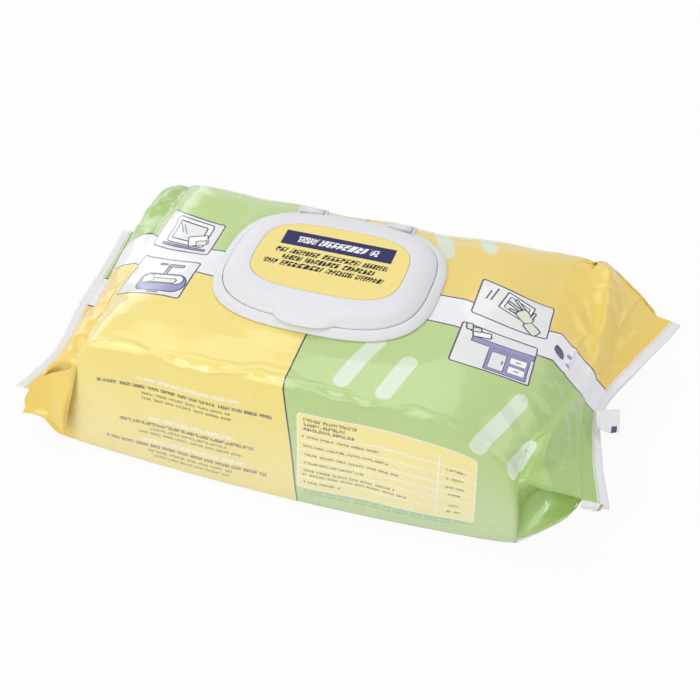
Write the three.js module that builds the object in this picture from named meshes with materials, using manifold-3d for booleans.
// Flow-wrapped pack of wet wipes with a hinged dispensing lid, in millimetres.
// +X runs along the pack, +Y points to the hinge side of the lid and +Z up. The pack lies on z = 0.
// The wrapper and the stack sealed inside it are one solid, because nothing can be seen through the film.
import * as THREE from "three";
import { mergeVertices } from "three/addons/utils/BufferGeometryUtils.js";
import Module from "manifold-3d";

const wasm = await Module();
wasm.setup();

// Sealed pack
const stackLength = 200;
const packWidth = 136;
const packHeight = 67;
const crownSpare = 1.5;
const frontSag = 4;
const backSag = 1.5;
const cornerSag = 17;
const frontSpread = 4.6;
const backSpread = 2;
const bottomLift = 1.2;
const frontTopRadius = 4;
const backTopRadius = 32;
const endTopRadius = 4;
const bottomRadius = 2.5;

// End seals
const sealWidth = 12;
const sealThickness = 1.2;
const tuckMouth = 2.4;
const tuckLip = 0.12;
const ribCount = 3;
const ribDepth = 0.22;
const marginWidth = 3.5;

// Lengthwise seam under the pack
const seamWidth = 12;
const seamOffset = 0;
const seamGroove = 0.5;

// Lid frame bonded to the film
const frameLength = 99.2;
const frameWidth = 82.2;
const dispenserX = -3;
const dispenserY = 2.2;
const bondGap = 0.2;
const flangeLip = 0.7;
const borderHeight = 3;
const borderWidth = 4.1;
const grooveFloor = 2.1;
const rimInset = 6.6;
const rimWall = 1.2;
const rimHeight = 4.4;
const deckThickness = 1.1;
const windowInset = 14;

// Lid
const lidGap = 0.4;
const lidWall = 1.2;
const lidHeight = 7.8;
const skirtHeight = 4;
const lipDepth = 1.4;
const tabWidth = 27;
const tabReach = 4.4;
const tabThickness = 1.5;

// Hinge
const hingeAxisInset = 3.1;
const hingeAxisHeight = 3.4;
const knuckleRadius = 1.1;
const knuckleClearance = 0.3;
const knuckleLength = 10.4;
const knuckleSpacing = 42;
const lugWall = 1.1;

// Printed label let into the lid, and the peel-off seal under it
const labelLength = 67.4;
const labelWidth = 45.6;
const labelPower = 3.4;
const labelThickness = 0.35;
const labelRecess = 0.45;
const labelClearance = 0.25;
const sealLabelThickness = 0.4;
const sealLabelClearance = 1.2;
const pullTabWidth = 14;
const pullTabReach = 3.5;
const windowPower = 3.2;
const outlinePower = 3;
const ringSegments = 56;

// How each end closes. Lists run evenly across the pack, from its back edge to its front edge.
// "reach" is the distance from the stack's end to the seal, and "height" and "tilt" place the seal itself.
// "swell" keeps the top film full before it drops to the seal, and "heel" keeps the bottom film down.
const ends = {
  left: {
    side: -1,
    reach: [24, 20.5, 18.5, 15, 21.5],
    height: [20, 20, 20, 19, 19],
    tilt: [4, 0, 0, 0, 0],
    swell: [2.8, 2.7, 2.6, 2.4, 1.8],
    heel: [1.3, 1.3, 1.3, 1.6, 4],
    skew: [-1, 0, 0, 0, 0],
    halfWidth: [61, 60],
    tuckDepth: [20, 12],
    tuckShare: [0.5, 0.35],
    shoulderDrop: [2, 12, 15.5, 15.5, 14.5],
    shoulderPower: [8, 5, 4, 7, 16],
    lean: [3, 18],
    ridge: 2,
    dent: 2,
  },
  right: {
    side: 1,
    reach: [37, 25, 15.5, 17.5, 25],
    height: [29, 30, 32, 31, 29],
    tilt: [10, 30, 48, 25, 6],
    swell: [1.5, 1.7, 2, 1.6, 1.3],
    heel: [1.3, 1.3, 1.3, 1.2, 1],
    skew: [6, 2, 0, 0, -1],
    halfWidth: [64, 61],
    tuckDepth: [22, 18],
    tuckShare: [0.5, 0.5],
    shoulderDrop: [2, 12, 15.5, 17, 25],
    shoulderPower: [8, 5, 4, 5, 6],
    lean: [2, 4],
    ridge: 5,
    dent: 4,
  },
};

const white = 0xf1f1f3;
const materials = {
  film: new THREE.MeshStandardMaterial({ color: 0xf0dc7c, roughness: 0.3, metalness: 0 }),
  plastic: new THREE.MeshStandardMaterial({ color: white, roughness: 0.4, metalness: 0 }),
  label: new THREE.MeshStandardMaterial({ color: 0xf6e08a, roughness: 0.35, metalness: 0 }),
  seal: new THREE.MeshStandardMaterial({ color: 0xe9edf0, roughness: 0.5, metalness: 0 }),
};

const mix = THREE.MathUtils.lerp;
const clamp = THREE.MathUtils.clamp;

// A closed solid from vertices and triangles, as a geometry with sharp faces.
function solidGeometry(points, triangles) {
  const geometry = new THREE.BufferGeometry();
  geometry.setAttribute("position", new THREE.Float32BufferAttribute(points.flatMap((p) => p.toArray()), 3));
  geometry.setIndex(triangles.flat());
  return geometry;
}

function toManifold(geometry) {
  const bare = geometry.clone();
  bare.deleteAttribute("normal");
  bare.deleteAttribute("uv");
  const merged = mergeVertices(bare, 1e-4);
  return new wasm.Manifold(
    new wasm.Mesh({
      numProp: 3,
      vertProperties: merged.attributes.position.array,
      triVerts: new Uint32Array(merged.index.array),
    }),
  );
}

function fromManifold(solid) {
  const mesh = solid.getMesh();
  const geometry = new THREE.BufferGeometry();
  geometry.setAttribute("position", new THREE.BufferAttribute(mesh.vertProperties, 3));
  geometry.setIndex(new THREE.BufferAttribute(mesh.triVerts, 1));
  return geometry;
}

// Smooth value of a list at v, which is 1 at the back edge of the pack and -1 at the front edge.
function across(values, v) {
  const curve = new THREE.SplineCurve(values.map((value, i) => new THREE.Vector2(i, value)));
  return curve.getPoint(clamp((1 - v) / 2, 0, 1)).y;
}

// Film over the stack: a flat seat for the lid frame that falls away to soft shoulders at both ends.
function topHeight(x, y) {
  const u = Math.abs(x) / (stackLength / 2);
  const v = y / (packWidth / 2);
  const end = x < 0 ? ends.left : ends.right;
  const sag = v < 0 ? frontSag : mix(backSag, cornerSag, u ** 6);
  const shoulder = across(end.shoulderDrop, v) * u ** across(end.shoulderPower, v);
  return Math.min(packHeight, packHeight + crownSpare - sag * Math.abs(v) ** 3 - shoulder);
}

function bottomHeight(x) {
  const u = Math.abs(x) / (stackLength / 2);
  return bottomLift * Math.max(0, (u - 0.8) / 0.2) ** 3;
}

// Where the film is at one station. "along" is -1 to 1 over the stack, and "closing" 0 to 1 from the stack's
// end to the seal. "outward" is a distance into the seal, past its inner border.
function station({ along = 0, closing = 0, outward = 0, end = null, thickness = tuckMouth }) {
  const u = end ? end.side : along;
  const x0 = (u * stackLength) / 2;
  const near = end ?? (along < 0 ? ends.left : ends.right);
  const shape = Math.abs(u) ** 8;
  const backHalf = mix(packWidth / 2, near.halfWidth[0], closing);
  const frontHalf = mix(packWidth / 2, near.halfWidth[1], closing);
  const backFoot = mix(packWidth / 2, near.halfWidth[0], closing ** 6);
  const frontFoot = mix(packWidth / 2, near.halfWidth[1], closing ** 6);
  const spread = (1 - u * u) * (1 - closing);

  function sealAt(v) {
    const tilt = THREE.MathUtils.degToRad(across(near.tilt, v));
    return {
      x: near.side * (stackLength / 2 + across(near.reach, v) + outward * Math.cos(tilt)),
      z: across(near.height, v) - outward * Math.sin(tilt),
    };
  }

  function top(y) {
    const start = topHeight(x0, y);
    if (!end) return start;
    const v = clamp(y / (packWidth / 2), -1, 1);
    const ridgeLine = (Math.abs(v) - 1 + 0.85 * closing) / 0.16;
    const folds = near.ridge * Math.exp(-(ridgeLine ** 2)) - near.dent * (1 - v * v) ** 2;
    const seat = sealAt(v).z + thickness / 2;
    return mix(start, seat, closing ** across(near.swell, v)) + 4 * closing * (1 - closing) * folds;
  }

  function bottom(y) {
    const start = bottomHeight(x0);
    if (!end) return start;
    const v = clamp(y / (packWidth / 2), -1, 1);
    return mix(start, sealAt(v).z - thickness / 2, closing ** across(near.heel, v));
  }

  // A point of the film at width y, "down" the wall from 0 at the top to 1 at the bottom.
  function place(y, down, zShift = 0) {
    const v = clamp(y / (packWidth / 2), -1, 1);
    const z = mix(top(y), bottom(y), down) + zShift;
    const lean = mix(near.lean[0], near.lean[1], (1 - v) / 2) * (0.5 - z / packHeight);
    const start = x0 + near.side * shape * (lean + across(near.skew, v));
    const x = end ? mix(start, sealAt(v).x, closing) : start;
    return new THREE.Vector3(x, y, z);
  }
  return { u, closing, near, backHalf, frontHalf, backFoot, frontFoot, spread, top, bottom, place, outward };
}

// Rounded corner of the section: from the flat run at "turn" 0 to the wall at "turn" 1.
function cornerPoint(at, side, half, radius, isTop, turn) {
  const angle = (turn * Math.PI) / 2;
  const flatY = side * (half - radius);
  const y = flatY + side * radius * Math.sin(angle);
  const fall = radius * (1 - Math.cos(angle));
  const surface = isTop ? at.top(flatY) : at.bottom(flatY);
  const point = at.place(y, isTop ? 0 : 1);
  point.z += surface - (isTop ? at.top(y) : at.bottom(y)) + (isTop ? -fall : fall);
  return point;
}

const topRun = [0, 0.06, 0.14, 0.23, 0.32, 0.41, 0.5, 0.59, 0.68, 0.77, 0.86, 0.94, 1];
const wallRun = [0, tuckLip, 0.3, 0.5, 0.7, 1 - tuckLip, 1];
const frontTurns = [0.3, 0.6, 0.85];
const backTurns = [0.15, 0.35, 0.55, 0.75, 0.9];
const bottomTurns = [0.3, 0.65, 0.9];

// Cross-section of the pack, once round from the front of the top face, over the back, to the front wall.
function section(at) {
  const open = (1 - at.closing) ** 2;
  const small = 0.25;
  const endward = at.u ** 6;
  const radii = {
    frontTop: mix(small, frontTopRadius, open),
    backTop: mix(small, mix(backTopRadius, endTopRadius, endward), open),
    bottom: mix(small, bottomRadius, open),
  };
  const tuck = at.near.tuckDepth.map((depth) => (at.outward > 0 ? 0 : depth * at.closing));
  const footBack = at.backFoot + backSpread * at.spread;
  const footFront = at.frontFoot + frontSpread * at.spread;

  function wallPoint(side, half, foot, w, topRadius, depth, share) {
    const fold = w < share ? (w - tuckLip) / (share - tuckLip) : (1 - tuckLip - w) / (1 - tuckLip - share);
    const y = side * (mix(half, foot, w) - depth * clamp(fold, 0, 1));
    const start = cornerPoint(at, side, half, topRadius, true, 1).z;
    const finish = cornerPoint(at, side, foot, radii.bottom, false, 1).z;
    const point = at.place(y, w);
    point.z += mix(start - at.top(side * half), finish - at.bottom(side * foot), w);
    return point;
  }

  const frontFlat = -(at.frontHalf - radii.frontTop);
  const backFlat = at.backHalf - radii.backTop;
  const bottomFront = -(footFront - radii.bottom);
  const bottomBack = footBack - radii.bottom;
  const grooveDepth = at.outward > 0 ? 0 : seamGroove * open;
  const seamEdges = [1, -1].flatMap((s) => [0.5, 0, -0.5].map((d) => [seamOffset + (s * seamWidth) / 2 + d, d === 0]));
  const flats = [1, 0.8, 0.6, 0.4].map((f) => [bottomBack * f, false]);
  const fronts = [0.3, 0.65, 1].map((f) => [bottomFront * f, false]);
  const wallSteps = (share) => wallRun.map((w) => (w === 0.5 ? share : w < 0.5 && w > tuckLip ? share * 0.6 : w));
  const [backShare, frontShare] = at.near.tuckShare;

  return [
    ...topRun.map((f) => at.place(mix(frontFlat, backFlat, f), 0)),
    ...backTurns.map((t) => cornerPoint(at, 1, at.backHalf, radii.backTop, true, t)),
    ...wallSteps(backShare).map((w) => wallPoint(1, at.backHalf, footBack, w, radii.backTop, tuck[0], backShare)),
    ...[...bottomTurns].reverse().map((t) => cornerPoint(at, 1, footBack, radii.bottom, false, t)),
    ...[...flats, ...seamEdges, ...fronts].map(([y, groove]) => at.place(y, 1, groove ? grooveDepth : 0)),
    ...bottomTurns.map((t) => cornerPoint(at, -1, footFront, radii.bottom, false, t)),
    ...wallSteps(frontShare).reverse().map((w) =>
      wallPoint(-1, at.frontHalf, footFront, w, radii.frontTop, tuck[1], frontShare)),
    ...[...frontTurns].reverse().map((t) => cornerPoint(at, -1, at.frontHalf, radii.frontTop, true, t)),
  ];
}

// Stations of one end, from the stack outwards: the closing film, then the ribbed seal and its plain margin.
function endStations(end) {
  const closing = [0.12, 0.28, 0.45, 0.62, 0.78, 0.9, 0.96, 1].map((c) => station({ end, closing: c }));
  const ribPitch = (sealWidth - marginWidth - 1) / (2 * ribCount + 1);
  const seal = [[0.5, sealThickness]];
  for (let i = 0; i <= 2 * ribCount; i += 1) {
    seal.push([1 + (i + 0.5) * ribPitch, sealThickness - (i % 2 ? 0 : 2 * ribDepth)]);
  }
  seal.push([sealWidth - marginWidth, sealThickness - ribDepth], [sealWidth, sealThickness - ribDepth]);
  return [
    ...closing,
    ...seal.map(([outward, thickness]) => station({ end, closing: 1, outward, thickness })),
  ];
}

// Closes an open end of the film: a strip between the top and bottom runs, and a fan over each side.
function capTriangles(offset, count, flip) {
  const tops = topRun.map((_, i) => offset + i);
  const bottomStart = topRun.length + backTurns.length + wallRun.length + bottomTurns.length;
  const bottoms = topRun.map((_, i) => offset + bottomStart + topRun.length - 1 - i);
  const made = [];
  for (let i = 0; i + 1 < tops.length; i += 1) {
    made.push([tops[i], bottoms[i], tops[i + 1]], [tops[i + 1], bottoms[i], bottoms[i + 1]]);
  }
  const backTop = topRun.length - 1;
  for (let i = backTop + 1; i < bottomStart; i += 1) {
    made.push([offset + backTop, offset + i + 1, offset + i]);
  }
  for (let i = bottomStart + topRun.length - 1; i < count - 1; i += 1) {
    made.push([offset, offset + i + 1, offset + i]);
  }
  return flip ? made.map(([a, b, c]) => [a, c, b]) : made;
}

function filmPack() {
  const alongs = [-1, -0.95, -0.88, -0.78, -0.64, -0.5, -0.25, 0, 0.25, 0.5, 0.62, 0.74, 0.84, 0.92, 0.97, 1];
  const stations = [
    ...endStations(ends.left).reverse(),
    ...alongs.map((along) => station({ along })),
    ...endStations(ends.right),
  ];
  const rows = stations.map(section);
  const count = rows[0].length;
  const triangles = [];
  for (let r = 0; r + 1 < rows.length; r += 1) {
    for (let i = 0; i < count; i += 1) {
      const j = (i + 1) % count;
      const [a, b, c, d] = [r * count + i, r * count + j, (r + 1) * count + i, (r + 1) * count + j];
      triangles.push([a, c, b], [b, c, d]);
    }
  }
  triangles.push(...capTriangles(0, count, true));
  triangles.push(...capTriangles((rows.length - 1) * count, count, false));
  return solidGeometry(rows.flat(), triangles);
}

// Rounded outline of the lid parts.
function outlinePoint(halfX, halfY, z, angle, power) {
  const [c, s] = [Math.cos(angle), Math.sin(angle)];
  const bend = 2 / power;
  return new THREE.Vector3(
    Math.sign(c) * halfX * Math.abs(c) ** bend,
    Math.sign(s) * halfY * Math.abs(s) ** bend,
    z,
  );
}

// Sweeps a profile of [halfX, halfY, z], drawn from underneath outwards and up, once round the outline.
// A profile with zero half lengths at its ends closes on the middle, and any other closes on itself as a ring.
function sweep(profile, power = outlinePower) {
  const closed = profile[0][0] > 0;
  const points = [];
  const rowStart = [];
  for (const [halfX, halfY, z, ringPower = power] of profile) {
    rowStart.push(points.length);
    const steps = halfX > 0 ? ringSegments : 1;
    for (let i = 0; i < steps; i += 1) {
      points.push(outlinePoint(halfX, halfY, z, (2 * Math.PI * i) / ringSegments, ringPower));
    }
  }
  const triangles = [];
  const rows = profile.length;
  for (let r = 0; r < (closed ? rows : rows - 1); r += 1) {
    const next = (r + 1) % rows;
    for (let i = 0; i < ringSegments; i += 1) {
      const j = (i + 1) % ringSegments;
      const at = (row, k) => rowStart[row] + (profile[row][0] > 0 ? k : 0);
      const [a, b, c, d] = [at(r, i), at(r, j), at(next, i), at(next, j)];
      if (a !== b) triangles.push([a, b, c]);
      if (c !== d) triangles.push([b, d, c]);
    }
  }
  return solidGeometry(points, triangles);
}

const seatHeight = packHeight + bondGap;
const inset = (distance, z) => [frameLength / 2 - distance, frameWidth / 2 - distance, seatHeight + z];
const hingeY = frameWidth / 2 - hingeAxisInset;
const hingeZ = seatHeight + hingeAxisHeight;
const knuckleCentres = [-knuckleSpacing / 2, knuckleSpacing / 2];

// Extrudes a shape drawn in Y and Z along X, centred on x.
function extrudeAlongX(shape, length, x) {
  const geometry = new THREE.ExtrudeGeometry(shape, { depth: length, bevelEnabled: false, curveSegments: 8 });
  const turn = new THREE.Matrix4().makeBasis(
    new THREE.Vector3(0, 1, 0),
    new THREE.Vector3(0, 0, 1),
    new THREE.Vector3(1, 0, 0),
  );
  return geometry.applyMatrix4(turn).translate(x - length / 2, 0, 0);
}

function cylinderAlongX(radius, length, x, y, z) {
  const geometry = new THREE.CylinderGeometry(radius, radius, length, 20);
  return geometry.rotateZ(Math.PI / 2).translate(x, y, z);
}

function box(x0, x1, y0, y1, z0, z1) {
  const geometry = new THREE.BoxGeometry(x1 - x0, y1 - y0, z1 - z0);
  return geometry.translate((x0 + x1) / 2, (y0 + y1) / 2, (z0 + z1) / 2);
}

// Cradle that carries one knuckle: a rounded block behind the lid's back edge.
function hingeLug() {
  const reach = knuckleRadius + knuckleClearance + lugWall;
  const foot = seatHeight + deckThickness / 2;
  const back = hingeY + reach + lugWall;
  const crest = hingeZ + 0.2;
  const shape = new THREE.Shape();
  shape.moveTo(hingeY - reach, foot);
  shape.lineTo(back - 0.6, foot);
  shape.quadraticCurveTo(back, foot + 0.4, back - 0.2, crest - 1.4);
  shape.quadraticCurveTo(back - 0.5, crest, back - 1.6, crest);
  shape.lineTo(hingeY - reach, crest);
  shape.closePath();
  return shape;
}

function lidFrame() {
  const ring = sweep([
    inset(0, 0),
    inset(0, flangeLip),
    inset(borderWidth * 0.3, flangeLip + (borderHeight - flangeLip) * 0.45),
    inset(borderWidth * 0.68, flangeLip + (borderHeight - flangeLip) * 0.84),
    inset(borderWidth, borderHeight),
    inset(borderWidth + 0.1, grooveFloor),
    inset(rimInset, grooveFloor),
    inset(rimInset, rimHeight - 0.3),
    inset(rimInset + 0.3, rimHeight),
    inset(rimInset + rimWall, rimHeight),
    inset(rimInset + rimWall, deckThickness),
    inset(windowInset, deckThickness),
    inset(windowInset, 0),
  ]);
  let solid = toManifold(ring);
  const lugLength = knuckleLength + 2 * knuckleClearance + 2 * lugWall;
  const bite = knuckleRadius + knuckleClearance;
  for (const x of knuckleCentres) {
    const halfSlot = knuckleLength / 2 + knuckleClearance;
    const mouth = box(x - halfSlot, x + halfSlot, frameWidth / 2 - rimInset + 0.01, hingeY,
      seatHeight + grooveFloor, hingeZ + 2 * bite);
    solid = solid
      .add(toManifold(extrudeAlongX(hingeLug(), lugLength, x)))
      .subtract(toManifold(cylinderAlongX(bite, 2 * halfSlot, x, hingeY, hingeZ)))
      .subtract(toManifold(mouth));
  }
  // The lugs stop short of the sealing rim, so that the lid's skirt has its groove all the way round.
  const grooveY = frameWidth / 2 - borderWidth - 0.1;
  const groove = box(-frameLength / 4 - knuckleSpacing, frameLength / 4 + knuckleSpacing,
    frameWidth / 2 - rimInset + 0.01, grooveY, seatHeight + grooveFloor, hingeZ + bite);
  return fromManifold(solid.subtract(toManifold(groove)));
}

// Outline of the lid, measured in from the frame's edge.
const skirtInset = borderWidth + lidGap;
const lidFloor = grooveFloor + lidGap;

function lid() {
  const labelX = labelLength / 2 + labelClearance;
  const labelY = labelWidth / 2 + labelClearance;
  const under = lidHeight - labelRecess - lidWall;
  const lipOuter = rimInset + rimWall + lidGap;
  const lipFoot = rimHeight - lipDepth;
  const shell = sweep([
    [0, 0, seatHeight + under],
    [labelX, labelY, seatHeight + under, labelPower],
    inset(lipOuter + lidWall, under - 0.4),
    inset(lipOuter + lidWall, lipFoot),
    inset(lipOuter, lipFoot),
    inset(lipOuter, under - 0.9),
    inset(skirtInset + lidWall + 0.2, skirtHeight + 0.5),
    inset(skirtInset + lidWall, lidFloor),
    inset(skirtInset, lidFloor),
    inset(skirtInset, lidFloor + 0.8),
    inset(skirtInset + 0.4, skirtHeight),
    inset(skirtInset + 1.6, lidHeight - 2.5),
    inset(skirtInset + 3.9, lidHeight - 1.2),
    inset(skirtInset + 7.2, lidHeight - 0.35),
    [labelX + 1.2, labelY + 1.2, seatHeight + lidHeight, labelPower],
    [labelX, labelY, seatHeight + lidHeight, labelPower],
    [labelX, labelY, seatHeight + lidHeight - labelRecess, labelPower],
    [0, 0, seatHeight + lidHeight - labelRecess],
  ]);
  const tabZ = seatHeight + borderHeight + lidGap;
  const tabY = -(frameWidth / 2 - skirtInset - 1.5);
  const tabHalf = tabReach + 1.5;
  const profile = [
    [0, 0, tabZ],
    [tabWidth / 2 - 0.5, tabHalf - 0.5, tabZ],
    [tabWidth / 2, tabHalf, tabZ + 0.5],
    [tabWidth / 2, tabHalf, tabZ + tabThickness - 0.5],
    [tabWidth / 2 - 0.6, tabHalf - 0.6, tabZ + tabThickness],
    [0, 0, tabZ + tabThickness],
  ];
  const tongue = sweep(profile, 2.2).translate(0, tabY, 0);
  const keepFront = box(-tabWidth, tabWidth, -frameWidth, tabY + 0.3, seatHeight, seatHeight + lidHeight);
  let solid = toManifold(shell).add(toManifold(tongue).intersect(toManifold(keepFront)));
  const armY = frameWidth / 2 - skirtInset - lidWall / 2;
  for (const x of knuckleCentres) {
    const half = knuckleLength / 2;
    const arm = box(x - half, x + half, armY, hingeY, hingeZ - knuckleRadius * 0.8, hingeZ + knuckleRadius * 0.95);
    solid = solid
      .add(toManifold(arm))
      .add(toManifold(cylinderAlongX(knuckleRadius, knuckleLength, x, hingeY, hingeZ)));
  }
  return fromManifold(solid);
}

// A thin plate with the given outline.
function plate(halfX, halfY, z, thickness, power) {
  return sweep([
    [0, 0, z],
    [halfX, halfY, z],
    [halfX, halfY, z + thickness],
    [0, 0, z + thickness],
  ], power);
}

function lidLabel() {
  const z = seatHeight + lidHeight - labelRecess + (labelRecess - labelThickness) / 2;
  return plate(labelLength / 2, labelWidth / 2, z, labelThickness, labelPower);
}

// Peel-off seal over the slit in the film, with a pull tab towards the front of the window.
function peelSeal() {
  const halfX = frameLength / 2 - windowInset - sealLabelClearance;
  const halfY = frameWidth / 2 - windowInset - sealLabelClearance - pullTabReach / 2;
  const patch = plate(halfX, halfY, seatHeight, sealLabelThickness, windowPower)
    .translate(0, pullTabReach / 2, 0);
  const tab = plate(pullTabWidth / 2, pullTabReach + 2, seatHeight, sealLabelThickness, 2.4)
    .translate(0, -halfY + pullTabReach / 2 + 1.8, 0);
  return fromManifold(toManifold(patch).add(toManifold(tab)));
}

function piece(name, geometry, material) {
  const mesh = new THREE.Mesh(geometry, material);
  mesh.name = name;
  return mesh;
}

const dispenser = new THREE.Group();
dispenser.position.set(dispenserX, dispenserY, 0);
dispenser.add(
  piece("lid_frame", lidFrame(), materials.plastic),
  piece("lid", lid(), materials.plastic),
  piece("lid_label", lidLabel(), materials.label),
  piece("peel_seal", peelSeal(), materials.seal),
);

const wipesPack = new THREE.Group();
wipesPack.add(piece("film_pack", filmPack(), materials.film), dispenser);

export default wipesPack;
